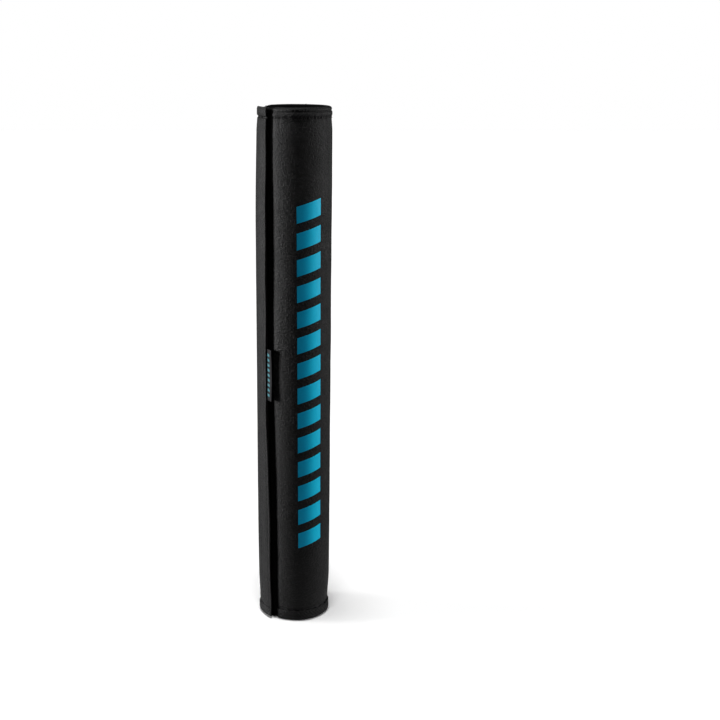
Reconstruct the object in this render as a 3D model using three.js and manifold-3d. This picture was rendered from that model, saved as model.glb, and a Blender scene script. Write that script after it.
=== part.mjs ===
// A roof rack pad: a foam panel in a sewn fabric cover, rolled round a crossbar and closed by a
// hook and loop flap along its whole length. Millimetres and degrees, +Z up, standing on one end.
// Angles run round the tube from its front (-Y) towards its right side (+X).
import * as THREE from "three";
import { mergeVertices } from "three/addons/utils/BufferGeometryUtils.js";
import Module from "manifold-3d";

const wasm = await Module();
wasm.setup();

// Driving dimensions of the rolled pad
const padLength = 500;
const boreRadius = 22.2;
const foamThickness = 8;
const coverThickness = 0.9;
const liningThickness = 0.8;
const seatGap = 0.3;
const wrapTwist = -4.5;

// The sewn ends and the long slit where the panel's two edges meet
const rimRound = 3.4;
const topHemWidth = 8.5;
const bottomHemWidth = 11.5;
const hemPinch = 0.8;
const topHemEase = 14;
const bottomHemEase = 32;
const slitAngle = 261;
const slitWidth = 2;
const slitRound = 2.4;

// The closure: loop tape on the body, hook tape under the flap
const flapEdgeAngle = 312;
const flapRootLap = 10;
const flapThickness = 1.8;
const flapFold = 0.8;
const flapBottom = 2;
const flapOverhang = 0.9;
const flapTop = padLength + flapOverhang;
const flapRise = 20;
const loopWidth = 28;
const loopThickness = 1.6;
const loopShow = 6.5;
const loopEndInset = 1.5;
const hookWidth = 16;
const hookThickness = 1.5;
const hookInset = 1.5;
const hookEndInset = 6;
const topSqueeze = 0.68;
const bottomSqueeze = 0.85;
const closureEase = 110;

// The folded side tag, sewn under the flap's edge halfway up
const tagHeight = 50;
const tagRaise = 2.5;
const tagReach = 7.6;
const tagThickness = 0.8;
const tagLap = 1.2;

// The print down the front: a column of slanted bars of thin transfer film
const printBottom = 79;
const printTop = 420;
const printStartAngle = 2;
const printTurn = 41.5;
const printBars = 14;
const printGap = 9;
const printSlant = 7;
const printThickness = 0.2;

// How finely the curved pieces are faceted
const turnStep = 12;
const roundSteps = 3;
const bodyLevels = 2;
const closureLevels = 6;

// Radii of the layers, from the bore outwards
const foamInner = boreRadius + liningThickness + seatGap;
const foamOuter = foamInner + foamThickness;
const coverRadius = foamOuter + seatGap + coverThickness;
const seamRadius = (boreRadius + coverRadius) / 2;
const loopInner = coverRadius + seatGap;
const hookInner = loopInner + loopThickness + seatGap;
const flapInner = hookInner + hookThickness + seatGap;

const radians = THREE.MathUtils.degToRad;
const smooth = THREE.MathUtils.smoothstep;
const degreesFor = (arc, radius) => THREE.MathUtils.radToDeg(arc / radius);

// Whole panel: its start edge lies under the flap, its end edge carries the flap
const slitTurn = degreesFor(slitWidth, coverRadius);
const panelStart = slitAngle - 360 + slitTurn / 2;
const panelEnd = slitAngle - slitTurn / 2;
const panelTurn = panelEnd - panelStart;

// 1 at the two sewn ends, easing to 0 in the body of the pad
function hemShare(z) {
  const aboveBottom = 1 - smooth(z, bottomHemWidth, bottomHemWidth + bottomHemEase);
  const belowTop = 1 - smooth(padLength - z, topHemWidth, topHemWidth + topHemEase);
  return Math.max(aboveBottom, belowTop);
}

// The closure lies flatter towards the two ends, where its edges are sewn down
function closureShare(z) {
  const fromBottom = THREE.MathUtils.lerp(bottomSqueeze, 1, smooth(z, 0, closureEase));
  const fromTop = THREE.MathUtils.lerp(topSqueeze, 1, smooth(padLength - z, 0, closureEase));
  return fromBottom * fromTop;
}

// The stitching draws both faces of the wall towards its middle; what lies on the wall follows
function drawnRadius(radius, z) {
  const onWall = Math.min(radius, coverRadius);
  const halfWall = coverRadius - seamRadius;
  const drawn = onWall - (hemPinch * hemShare(z) * (onWall - seamRadius)) / halfWall;
  return drawn + (radius - onWall) * closureShare(z);
}

// A point of the rolled pad, with the slight twist of a panel that was wrapped by hand
function rolledPoint(angle, radius, z) {
  const turn = radians(angle + wrapTwist * (z / padLength - 0.5));
  const r = drawnRadius(radius, z);
  return [r * Math.sin(turn), -r * Math.cos(turn), z];
}

// A flat panel with grid lines at the given places across and along it. place() says where each
// of its points goes once it is formed: face is 0 on the inside and 1 on the outside.
function formedPanel(across, along, place) {
  const cells = [across.length - 1, along.length - 1];
  const geometry = new THREE.BoxGeometry(1, 1, 1, ...cells, 1);
  const points = geometry.getAttribute("position");
  for (let i = 0; i < points.count; i++) {
    const column = Math.round((points.getX(i) + 0.5) * cells[0]);
    const row = Math.round((points.getY(i) + 0.5) * cells[1]);
    const face = Math.round(points.getZ(i) + 0.5);
    points.setXYZ(i, ...place(across[column], along[row], face));
  }
  geometry.computeVertexNormals();
  return geometry;
}

// Places from one end to the other, close together where the ends are rounded
function roundedLevels(from, to, round, between) {
  const arc = [];
  for (let i = 0; i <= roundSteps; i++) {
    arc.push(round * (1 - Math.cos((i / roundSteps) * Math.PI / 2)));
  }
  const near = arc.map((step) => from + step);
  const far = arc.map((step) => to - step).reverse();
  return [...near, ...between, ...far];
}

function evenSteps(from, to, count) {
  return Array.from({ length: count - 1 }, (_, i) => from + ((i + 1) * (to - from)) / count);
}

// How far a face has dropped, at a distance in from an edge that is rounded over
function edgeDrop(distance, round) {
  const left = THREE.MathUtils.clamp(round - distance, 0, round);
  return round - Math.sqrt(round * round - left * left);
}

// Heights of the grid lines between the rims: the sewn ends and, between them, the plain body
function bodyHeights(levels) {
  const low = bottomHemWidth + bottomHemEase;
  const high = padLength - topHemWidth - topHemEase;
  return [
    bottomHemWidth,
    bottomHemWidth + bottomHemEase / 2,
    low,
    ...evenSteps(low, high, levels),
    high,
    padLength - topHemWidth - topHemEase / 2,
    padLength - topHemWidth,
  ];
}

// The wall between two radii, drawn in by inset on its four edges. Each face that is marked as
// rounded turns over towards the wall's middle at the rims and at the slit.
function wallPanel({ inset, inner, outer, innerRounded, outerRounded }) {
  const insetTurn = degreesFor(inset, coverRadius);
  const start = panelStart + insetTurn;
  const end = panelEnd - insetTurn;
  const rim = rimRound - inset;
  const slit = slitRound - inset;
  const slitRoundTurn = degreesFor(slit, coverRadius);
  const plain = evenSteps(start + slitRoundTurn, end - slitRoundTurn, Math.round(panelTurn / turnStep));
  const across = roundedLevels(start, end, slitRoundTurn, plain);
  const along = roundedLevels(inset, padLength - inset, rim, bodyHeights(bodyLevels));
  return formedPanel(across, along, (angle, z, face) => {
    const fromRim = Math.min(z - inset, padLength - inset - z);
    const fromSlit = radians(Math.min(angle - start, end - angle)) * coverRadius;
    const drop = Math.max(edgeDrop(fromRim, rim), edgeDrop(fromSlit, slit));
    const radius = face
      ? outer - (outerRounded ? drop : 0)
      : inner + (innerRounded ? drop : 0);
    return rolledPoint(angle, radius, z);
  });
}

function solidOf(geometry) {
  const bare = new THREE.BufferGeometry();
  bare.setAttribute("position", geometry.getAttribute("position"));
  bare.setIndex(geometry.getIndex());
  const merged = mergeVertices(bare);
  const mesh = new wasm.Mesh({
    numProp: 3,
    vertProperties: merged.getAttribute("position").array,
    triVerts: new Uint32Array(merged.getIndex().array),
  });
  return new wasm.Manifold(mesh);
}

function geometryOf(solid) {
  const { numProp, vertProperties, triVerts } = solid.getMesh();
  const geometry = new THREE.BufferGeometry();
  const shared = new THREE.InterleavedBuffer(vertProperties, numProp);
  geometry.setAttribute("position", new THREE.InterleavedBufferAttribute(shared, 3, 0));
  geometry.setIndex(new THREE.BufferAttribute(triVerts, 1));
  const facets = geometry.toNonIndexed();
  facets.computeVertexNormals();
  return facets;
}

// The foam sheet fills the cover, with its corners eased so that it takes the rounded rims
function foamGeometry() {
  return wallPanel({
    inset: coverThickness + seatGap,
    inner: foamInner,
    outer: foamOuter,
    innerRounded: true,
    outerRounded: true,
  });
}

// A sewn half of the cover: a shallow tray whose edges are turned over the foam and meet the
// other half along the middle of the wall
function trayGeometry({ block, hollow }) {
  return geometryOf(solidOf(wallPanel(block)).subtract(solidOf(wallPanel(hollow))));
}

function coverGeometry() {
  const block = {
    inset: 0,
    inner: seamRadius + seatGap / 2,
    outer: coverRadius,
    outerRounded: true,
  };
  const hollow = {
    inset: coverThickness,
    inner: seamRadius - coverThickness,
    outer: coverRadius - coverThickness,
    outerRounded: true,
  };
  return trayGeometry({ block, hollow });
}

function liningGeometry() {
  const block = {
    inset: 0,
    inner: boreRadius,
    outer: seamRadius - seatGap / 2,
    innerRounded: true,
  };
  const hollow = {
    inset: liningThickness,
    inner: boreRadius + liningThickness,
    outer: seamRadius + liningThickness,
    innerRounded: true,
  };
  return trayGeometry({ block, hollow });
}

// The flap is sewn down beside the slit, climbs over the slit and lies on the closed tapes
const flapRootAngle = panelEnd - degreesFor(flapRootLap, coverRadius);
const loopStart = flapEdgeAngle + degreesFor(loopShow - loopWidth, loopInner);

function flapSeat(angle) {
  const climbEnd = loopStart - degreesFor(seatGap, loopInner);
  const climb = smooth(angle, climbEnd - flapRise, climbEnd);
  return loopInner + (flapInner - loopInner) * climb;
}

function flapGeometry() {
  const foldTurn = degreesFor(flapFold, flapInner);
  const count = Math.round((flapEdgeAngle - flapRootAngle) / (turnStep / 2));
  const plain = evenSteps(flapRootAngle + foldTurn, flapEdgeAngle - foldTurn, count);
  const across = roundedLevels(flapRootAngle, flapEdgeAngle, foldTurn, plain);
  const along = roundedLevels(flapBottom, flapTop, flapFold, bodyHeights(closureLevels));
  const middle = flapThickness / 2;
  return formedPanel(across, along, (angle, z, face) => {
    const fromSide = radians(Math.min(angle - flapRootAngle, flapEdgeAngle - angle)) * flapInner;
    const fromEnd = Math.min(z - flapBottom, flapTop - z);
    const drop = Math.max(edgeDrop(fromSide, flapFold), edgeDrop(fromEnd, flapFold));
    const half = Math.max(middle - drop, middle / 4);
    const offset = face ? middle + half : middle - half;
    return rolledPoint(angle, flapSeat(angle) + offset, z);
  });
}

// A tape sewn along the closure, lying on the given radius
function tapeGeometry({ start, width, inner, thickness, endInset }) {
  const end = start + degreesFor(width, inner);
  const across = [start, ...evenSteps(start, end, Math.round((end - start) / (turnStep / 2))), end];
  const along = [endInset, ...bodyHeights(closureLevels), padLength - endInset];
  return formedPanel(across, along, (angle, z, face) =>
    rolledPoint(angle, inner + face * thickness, z),
  );
}

function loopGeometry() {
  return tapeGeometry({
    start: loopStart,
    width: loopWidth,
    inner: loopInner,
    thickness: loopThickness,
    endInset: loopEndInset,
  });
}

function hookGeometry() {
  return tapeGeometry({
    start: flapEdgeAngle - degreesFor(hookInset + hookWidth, hookInner),
    width: hookWidth,
    inner: hookInner,
    thickness: hookThickness,
    endInset: hookEndInset,
  });
}

// The tag leaves the underside of the flap's edge and runs straight on along the tangent there
function tagGeometry() {
  const middle = padLength / 2 + tagRaise;
  const across = [-tagLap, 0, tagReach];
  const along = [middle - tagHeight / 2, middle, middle + tagHeight / 2];
  const outer = flapInner - seatGap;
  return formedPanel(across, along, (reach, z, face) => {
    const [x, y] = rolledPoint(flapEdgeAngle, outer - (1 - face) * tagThickness, z);
    const turn = radians(flapEdgeAngle + wrapTwist * (z / padLength - 0.5));
    return [x + reach * Math.cos(turn), y + reach * Math.sin(turn), z];
  });
}

// A bar of the print, sheared so that its right end stands higher than its left one
function printBarGeometry(index) {
  const pitch = (printTop - printSlant - printBottom + printGap) / printBars;
  const low = printBottom + index * pitch;
  const high = low + pitch - printGap;
  const end = printStartAngle + printTurn;
  const across = [printStartAngle, ...evenSteps(printStartAngle, end, 6), end];
  return formedPanel(across, [low, high], (angle, z, face) => {
    const rise = (printSlant * (angle - printStartAngle)) / printTurn;
    return rolledPoint(angle, coverRadius + seatGap + face * printThickness, z + rise);
  });
}

const finishes = {
  wovenCover: { color: 0x1b1b1d, roughness: 0.85 },
  innerLining: { color: 0x09090a, roughness: 0.95 },
  closedFoam: { color: 0x2a2a2c, roughness: 0.9 },
  loopPile: { color: 0x050506, roughness: 1 },
  hookTape: { color: 0x0b0b0c, roughness: 0.8 },
  wovenTag: { color: 0x2e2e33, roughness: 0.7 },
  transferFilm: { color: 0x00708c, roughness: 0.35 },
};

function piece(name, geometry, finish) {
  const material = new THREE.MeshStandardMaterial({ metalness: 0, ...finishes[finish] });
  const mesh = new THREE.Mesh(geometry, material);
  mesh.name = name;
  return mesh;
}

const pad = new THREE.Group();
pad.add(
  piece("foam_core", foamGeometry(), "closedFoam"),
  piece("outer_cover", coverGeometry(), "wovenCover"),
  piece("inner_lining", liningGeometry(), "innerLining"),
  piece("closure_flap", flapGeometry(), "wovenCover"),
  piece("loop_tape", loopGeometry(), "loopPile"),
  piece("hook_tape", hookGeometry(), "hookTape"),
  piece("side_tag", tagGeometry(), "wovenTag"),
);

for (let index = 0; index < printBars; index++) {
  const name = `print_bar_${String(index + 1).padStart(2, "0")}`;
  pad.add(piece(name, printBarGeometry(index), "transferFilm"));
}

// The origin lies on the ground under the middle of the pad's outline
const outline = new THREE.Box3().setFromObject(pad, true);
const centre = outline.getCenter(new THREE.Vector3());
pad.position.set(-centre.x, -centre.y, 0);

export default pad;
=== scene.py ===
# %% [markdown]
# A roof rack pad stands on its end: a sheet of foam in a sewn fabric cover, rolled into a tube and
# closed down its left side by a flap with hook and loop tape. In use it is wrapped round a crossbar.
# The CAD frame gives every size and place, and this script dresses it in cloth, thread and print.

# %% Load the frame
import math

import bpy
import numpy as np
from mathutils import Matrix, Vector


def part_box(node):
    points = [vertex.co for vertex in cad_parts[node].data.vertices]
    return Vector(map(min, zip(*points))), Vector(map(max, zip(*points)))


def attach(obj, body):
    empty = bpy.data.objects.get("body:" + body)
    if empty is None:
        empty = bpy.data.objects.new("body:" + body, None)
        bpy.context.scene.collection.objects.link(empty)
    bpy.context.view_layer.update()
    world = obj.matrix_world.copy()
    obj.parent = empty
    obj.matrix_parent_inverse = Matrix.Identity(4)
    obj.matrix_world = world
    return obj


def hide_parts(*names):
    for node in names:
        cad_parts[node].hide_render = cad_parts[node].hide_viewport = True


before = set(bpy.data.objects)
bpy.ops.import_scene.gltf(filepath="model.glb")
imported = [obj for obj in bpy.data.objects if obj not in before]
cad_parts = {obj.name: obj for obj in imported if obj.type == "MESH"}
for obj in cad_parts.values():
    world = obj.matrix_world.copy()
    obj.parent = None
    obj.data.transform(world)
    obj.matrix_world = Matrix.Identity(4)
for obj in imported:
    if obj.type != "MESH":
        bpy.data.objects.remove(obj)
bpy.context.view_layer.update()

# %% [markdown]
# Every place on the pad is easiest to say as a maker would: how far round the roll, how far out
# from the bar, and how high. So the tube's own axis comes first, read from the CAD cover, and then
# one function that turns those three numbers into a point. It repeats the habits of the real roll:
# a slight twist, since it was wrapped by hand, a closure that swings to the front at its lower end,
# and ends that the stitching draws in.

# %% The rolled pad's own coordinates
MM = 0.001
cover_low, cover_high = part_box("outer_cover")
axis_x = (cover_low[0] + cover_high[0]) / 2
axis_y = (cover_low[1] + cover_high[1]) / 2
pad_length = cover_high[2]
cover_radius = (cover_high[1] - cover_low[1]) / 2
wall = 10.3 * MM
bore_radius = cover_radius - wall
seam_radius = cover_radius - wall / 2
wrap_twist = -4.5
closure_turn = 282.5
closure_half = 40
closure_fade = 36
low_swing = 4.5
middle_swing = -1.5
high_swing = 2.5
swing_heights = (100 * MM, 240 * MM, 400 * MM)
top_hem = 8.5 * MM
bottom_hem = 11.5 * MM
hem_pinch = 0.8 * MM
top_ease = 14 * MM
bottom_ease = 32 * MM


def smooth(value, low, high):
    """Rises from 0 at low to 1 at high, with soft ends."""
    share = np.clip((value - low) / (high - low), 0, 1)
    return share * share * (3 - 2 * share)


def hem_share(height):
    above_bottom = 1 - smooth(height, bottom_hem, bottom_hem + bottom_ease)
    below_top = 1 - smooth(pad_length - height, top_hem, top_hem + top_ease)
    return np.maximum(above_bottom, below_top)


def swing(turn, height):
    """How many degrees the closure's line strays from straight; nothing away from the closure."""
    low, middle, high = swing_heights
    away = np.abs(np.mod(turn - closure_turn + 180, 360) - 180)
    low_part = low_swing * (1 - smooth(height, low, middle))
    high_part = high_swing * smooth(height, middle, high)
    near = 1 - smooth(away, closure_half, closure_half + closure_fade)
    return (middle_swing + low_part + high_part) * near


def wrapped(turn, height):
    """The turn that a place on the wall has once the pad is rolled up."""
    return turn + wrap_twist * (height / pad_length - 0.5) + swing(turn, height)


def rolled(turn, radius, height, on_wall=None):
    """Points at turn degrees round from the front, at a radius and a height."""
    wall_place = radius if on_wall is None else on_wall
    drawn = hem_pinch * hem_share(height) * (wall_place - seam_radius) / (wall / 2)
    angle = np.radians(wrapped(turn, height))
    reach = radius - drawn
    point = axis_x + reach * np.sin(angle), axis_y - reach * np.cos(angle), height
    return np.stack(np.broadcast_arrays(*point), axis=-1)


def degrees_for(arc, radius=cover_radius):
    return math.degrees(arc / radius)


def arc_for(turn, radius=cover_radius):
    return np.radians(turn) * radius


print("axis", axis_x, axis_y, "cover radius", cover_radius)

# %% [markdown]
# Blender's operators act on whatever is selected, so each step starts from nothing selected. The
# soft pieces all start as the flat cloth that they were cut from: a grid, given a back by extruding
# it where a piece is a slab. Forming it is then a matter of saying where each crossing goes.

# %% Flat cloth to start from
def select_only(piece):
    bpy.ops.object.select_all(action="DESELECT")
    piece.select_set(True)
    bpy.context.view_layer.objects.active = piece


def edit_whole(piece, operator, **settings):
    """Runs an operator of the edit mode on the whole of a piece."""
    select_only(piece)
    bpy.ops.object.mode_set(mode="EDIT")
    bpy.ops.mesh.select_all(action="SELECT")
    operator(**settings)
    bpy.ops.object.mode_set(mode="OBJECT")


def coordinates(piece):
    flat = np.empty(len(piece.data.vertices) * 3)
    piece.data.vertices.foreach_get("co", flat)
    return flat.reshape(-1, 3)


def set_coordinates(piece, points):
    piece.data.vertices.foreach_set("co", np.ascontiguousarray(points, dtype=np.float64).ravel())
    piece.data.update()


def lay_cloth_map(mesh, places):
    """Keeps where each vertex lies on the cloth, in metres, as the piece's own UV map."""
    corners = np.empty(len(mesh.loops), dtype=np.int32)
    mesh.loops.foreach_get("vertex_index", corners)
    layer = mesh.uv_layers.active or mesh.uv_layers.new(name="cloth")
    layer.name = "cloth"
    layer.data.foreach_set("uv", np.stack(places, axis=-1)[corners].astype(np.float32).ravel())


def kept_value(piece, name):
    """A number that form() kept for each vertex, which modifiers carry along."""
    values = np.empty(len(piece.data.vertices), dtype=np.float32)
    piece.data.attributes[name].data.foreach_get("value", values)
    return values.astype(float)


def form(name, across, along, place, backs=0):
    """Makes a grid of cells, extruded backs times into a slab, and moves each crossing to
    place(across, along, face), which also gives its UV. face is 0 on the grid and 1 on its last back."""
    columns, rows = len(across) - 1, len(along) - 1
    bpy.ops.object.select_all(action="DESELECT")
    bpy.ops.mesh.primitive_grid_add(x_subdivisions=columns, y_subdivisions=rows, size=1)
    piece = bpy.context.active_object
    piece.name = piece.data.name = name
    bpy.ops.object.mode_set(mode="EDIT")
    bpy.ops.mesh.select_all(action="SELECT")
    for _ in range(backs):
        bpy.ops.mesh.extrude_region_move(TRANSFORM_OT_translate={"value": (0, 0, 1 / backs)})
    bpy.ops.object.mode_set(mode="OBJECT")

    flat = coordinates(piece)
    column = np.rint((flat[:, 0] + 0.5) * columns).astype(int)
    row = np.rint((flat[:, 1] + 0.5) * rows).astype(int)
    kept = {"face": flat[:, 2], "across": np.asarray(across)[column], "along": np.asarray(along)[row]}
    for key, values in kept.items():
        layer = piece.data.attributes.new(key, "FLOAT", "POINT")
        layer.data.foreach_set("value", values.astype(np.float32))
    points, cloth = place(kept["across"], kept["along"], kept["face"])
    set_coordinates(piece, points)
    lay_cloth_map(piece.data, cloth)
    edit_whole(piece, bpy.ops.mesh.normals_make_consistent, inside=False)
    return piece


def apply_modifier(piece, kind, **settings):
    """Adds a modifier with these settings and applies it at once."""
    select_only(piece)
    bpy.ops.object.modifier_add(type=kind)
    modifier = piece.modifiers[-1]
    for name, value in settings.items():
        setattr(modifier, name, value)
    bpy.ops.object.modifier_apply(modifier=modifier.name)


def report(*pieces):
    print(", ".join(f"{piece.name} {len(piece.data.polygons)} faces" for piece in pieces))


def even_steps(low, high, step):
    """Evenly spaced places from low to high, about a step apart."""
    return list(np.linspace(low, high, max(2, round((high - low) / step)) + 1))

# %% [markdown]
# The body is one padded wall with the foam in it. Its two edges meet in a long slit under the flap,
# and its ends are turned over, so the wall is rounded at all four edges. Near the stitch rows the
# grid is fine, because that is where the cloth will be drawn in.

# %% The padded wall before it is filled
rim_round = 3.4 * MM
slit_round = 2.4 * MM
slit_turn = 261
slit_width = 2 * MM
round_steps = 4
column_step = 2.2 * MM
row_step = 5.2 * MM
hem_step = 1.2 * MM
hem_margin = 3 * MM
start_smaller = 0.5 * MM
fullness = 1.25 * MM
fullness_at_hem = 0.3
fullness_ease = 8
flap_edge_turn = 312
flap_root_lap = 10 * MM
loop_show = 4.2 * MM

slit_gap = degrees_for(slit_width)
panel_start = slit_turn - 360 + slit_gap / 2
panel_end = slit_turn - slit_gap / 2
flap_root_turn = panel_end - degrees_for(flap_root_lap)
tapes_end_turn = flap_edge_turn + degrees_for(loop_show)
low_hem_end = bottom_hem + hem_margin
high_hem_end = pad_length - top_hem - hem_margin


def steps_up(low, high, fine, coarse):
    """Heights from low to high, closer together at the two hems."""
    middle = even_steps(low_hem_end, high_hem_end, coarse)[1:-1]
    return even_steps(low, low_hem_end, fine) + middle + even_steps(high_hem_end, high, fine)


def rounded_places(low, high, rounding, between):
    """Places from low to high, crowded where the two ends are rounded over."""
    arc = [rounding * (1 - math.cos(i / round_steps * math.pi / 2)) for i in range(round_steps + 1)]
    return [low + a for a in arc] + between[1:-1] + [high - a for a in reversed(arc)]


def edge_drop(distance, rounding):
    left = np.clip(rounding - distance, 0, rounding)
    return rounding - np.sqrt(rounding**2 - left**2)


def filled_out(turn, height):
    """How far the foam holds the wall out beside the tapes, less towards the bottom hem."""
    past_loop = smooth(turn, tapes_end_turn - 360, tapes_end_turn - (360 - fullness_ease))
    before_root = 1 - smooth(turn, flap_root_turn - fullness_ease, flap_root_turn)
    above_hem = smooth(height, bottom_hem, bottom_hem + bottom_ease)
    return fullness * past_loop * before_root * (fullness_at_hem + (1 - fullness_at_hem) * above_hem)


def wall_place(turn, height, face):
    """Where the padded wall's cloth lies before it is filled, and its place on the flat cloth."""
    from_rim = np.minimum(height, pad_length - height)
    from_slit = arc_for(np.minimum(turn - panel_start, panel_end - turn))
    rim_drop = edge_drop(from_rim, rim_round)
    slit_drop = edge_drop(from_slit, slit_round)
    drop = np.maximum(rim_drop, slit_drop)
    outside = cover_radius - start_smaller + filled_out(turn, height) - drop
    inside = bore_radius + start_smaller + drop
    radius = inside + (outside - inside) * face
    over_rim = rim_drop * np.where(height > pad_length / 2, 1, -1)
    over_slit = slit_drop * np.where(turn > (panel_start + panel_end) / 2, 1, -1)
    cloth = (arc_for(turn, seam_radius) + over_slit, height + over_rim)
    return rolled(turn, radius, height), cloth


column_turn = degrees_for(column_step)
round_turn = degrees_for(slit_round)
columns_between = even_steps(panel_start + round_turn, panel_end - round_turn, column_turn)
rows_between = steps_up(rim_round, pad_length - rim_round, hem_step, row_step)
wall_across = rounded_places(panel_start, panel_end, round_turn, columns_between)
wall_along = rounded_places(0, pad_length, rim_round, rows_between)
body = form("body", wall_across, wall_along, wall_place, backs=2)
print("body", len(wall_across), "columns", len(wall_along), "rows")

# %% [markdown]
# The foam pushes the cloth out wherever no stitch holds it. A short cloth simulation with a little
# pressure does the same: the stitch rows and the stretch under the tapes are pinned, the rest
# swells, and a cap keeps every point near the CAD surface.

# %% Fill the padded wall
swell_cap = 1.3 * MM
swell_pressure = 5
swell_frames = 16
pin_reach = 0.8 * MM


def turn_and_radius(points):
    """The turn and the radius of points, with the roll's twist and swing taken out of the turn."""
    x = points[:, 0] - axis_x
    y = axis_y - points[:, 1]
    turn = np.degrees(np.arctan2(x, y)) - wrap_twist * (points[:, 2] / pad_length - 0.5)
    turn -= swing(turn, points[:, 2])
    return np.mod(turn, 360), np.hypot(x, y)


def hold_stitched(piece):
    """Pins the stitch rows of both ends, and the outside where the closure is sewn on."""
    points = coordinates(piece)
    turn, radius = turn_and_radius(points)
    height = points[:, 2]
    at_top = np.abs(height - (pad_length - top_hem)) < pin_reach
    at_bottom = np.abs(height - bottom_hem) < pin_reach
    under_tapes = (radius > seam_radius) & (turn > flap_root_turn) & (turn < tapes_end_turn)
    group = piece.vertex_groups.new(name="stitched")
    group.add([int(i) for i in np.flatnonzero(at_top | at_bottom | under_tapes)], 1.0, "REPLACE")


def set_above_floor(piece, points):
    points[:, 2] = np.maximum(points[:, 2], 0)
    set_coordinates(piece, points)


def fill_with_foam(piece):
    """Lets the cloth swell, and caps how far each point may move."""
    start = coordinates(piece)
    select_only(piece)
    bpy.ops.object.modifier_add(type="CLOTH")
    cloth = piece.modifiers[-1]
    cloth.settings.vertex_group_mass = "stitched"
    cloth.settings.use_pressure = True
    cloth.settings.uniform_pressure_force = swell_pressure
    cloth.settings.tension_stiffness = 12
    cloth.settings.compression_stiffness = 12
    cloth.settings.bending_stiffness = 0.6
    cloth.settings.effector_weights.gravity = 0
    cloth.collision_settings.use_collision = False
    cloth.point_cache.frame_start = 1
    cloth.point_cache.frame_end = swell_frames
    for step in range(1, swell_frames + 1):
        bpy.context.scene.frame_set(step)
    bpy.ops.object.modifier_apply(modifier=cloth.name)
    moved = coordinates(piece) - start
    distance = np.linalg.norm(moved, axis=1)
    print(f"swelled {distance.mean() / MM:.2f} mm on average, {distance.max() / MM:.2f} at most")
    share = swell_cap / np.maximum(distance, swell_cap)
    set_above_floor(piece, start + moved * share[:, None])
    bpy.context.scene.frame_set(1)


hold_stitched(body)
fill_with_foam(body)

# %% [markdown]
# A real cover is two halves, sewn together along the middle of the wall: coarse woven cloth outside
# and a plain lining inside. So the filled wall is cut along that seam. The woven half gets one
# subdivision, which makes the grid fine enough for the stitching, and each half its own thickness.

# %% Cut the cover and the lining apart
cloth_thickness = 0.8 * MM
lining_share = 0.6


def cut_off_lining(piece):
    """Separates the faces of the slab's inner half."""
    faces = kept_value(piece, "face")
    edit_whole(piece, bpy.ops.mesh.select_all, action="DESELECT")
    for polygon in piece.data.polygons:
        polygon.select = all(faces[i] < lining_share for i in polygon.vertices)
    bpy.ops.object.mode_set(mode="EDIT")
    bpy.ops.mesh.select_mode(type="FACE")
    bpy.ops.mesh.separate(type="SELECTED")
    bpy.ops.object.mode_set(mode="OBJECT")
    return next(o for o in bpy.context.selected_objects if o != piece)


lining = cut_off_lining(body)
cover = body
for half, name in ((cover, "cover"), (lining, "lining")):
    half.name = half.data.name = name
    half.vertex_groups.clear()
apply_modifier(cover, "SUBSURF", levels=1, render_levels=1)
report(cover, lining)

# %% [markdown]
# Cloth over foam is never quite even, so a cloudy texture pushes the woven half in and out by a few
# tenths of a millimetre. The two stitch rows are then drawn in: a groove where the thread pulls,
# and small puckers beside it that die away up the wall.

# %% Draw in the stitch rows of the cover
unevenness = 0.5 * MM
uneven_size = 0.045
stitch_pitch = 3.6 * MM
groove_depths = {"top": 0.75 * MM, "bottom": 1.4 * MM}
groove_width = 0.9 * MM
hole_depth = 0.9 * MM
hole_width = 0.7 * MM
pucker = 0.14 * MM
pucker_reach = 4 * MM
outer_skin = 1.5 * MM
hem_widths = {"top": top_hem, "bottom": bottom_hem}
hem_rows = {"top": pad_length - top_hem, "bottom": bottom_hem}


def bell(distance, width):
    """1 in the middle of a groove or ridge, and nothing a few widths away."""
    return np.exp(-((distance / width) ** 2))


def stitch_beat(along):
    """Swings between -1 and 1 once a stitch."""
    return np.cos(2 * np.pi * along / stitch_pitch)


def from_hem_row(end, height):
    """How far a height lies past the stitch row, towards the rim."""
    return (hem_rows[end] - height) * (1 if end == "bottom" else -1)


def stitch_holes(arc, from_row):
    """How deep the needle's holes are, one between each two stitches."""
    return hole_depth * np.clip(stitch_beat(arc), 0, 1) ** 3 * bell(from_row, hole_width)


def make_uneven(piece, size, strength):
    clouds = bpy.data.textures.new("uneven cloth", type="CLOUDS")
    clouds.noise_scale = size
    clouds.noise_depth = 1
    apply_modifier(piece, "DISPLACE", texture=clouds, strength=strength, mid_level=0.5)


def stitched_in(arc, height):
    """How far the stitching of the two hems moves the cover's surface, outwards."""
    slow_beat = np.cos(np.pi * arc / stitch_pitch + 0.7)
    moved = np.zeros_like(height)
    for end in hem_rows:
        from_row = from_hem_row(end, height)
        moved -= groove_depths[end] * (bell(from_row, groove_width) * (0.85 + 0.15 * stitch_beat(arc)))
        moved += pucker * slow_beat * np.exp(-np.abs(from_row) / pucker_reach)
    return moved


def push_from_axis(points, amounts, radius):
    points[:, 0] += amounts * (points[:, 0] - axis_x) / radius
    points[:, 1] += amounts * (points[:, 1] - axis_y) / radius


def draw_in_hems(piece):
    points = coordinates(piece)
    turn, radius = turn_and_radius(points)
    moved = stitched_in(arc_for(turn), points[:, 2])
    push_from_axis(points, moved * smooth(radius, seam_radius, cover_radius - outer_skin), radius)
    set_above_floor(piece, points)


make_uneven(cover, uneven_size, unevenness)
draw_in_hems(cover)
for half in (cover, lining):
    apply_modifier(half, "SOLIDIFY", thickness=cloth_thickness, offset=-1)
report(cover, lining)

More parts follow.
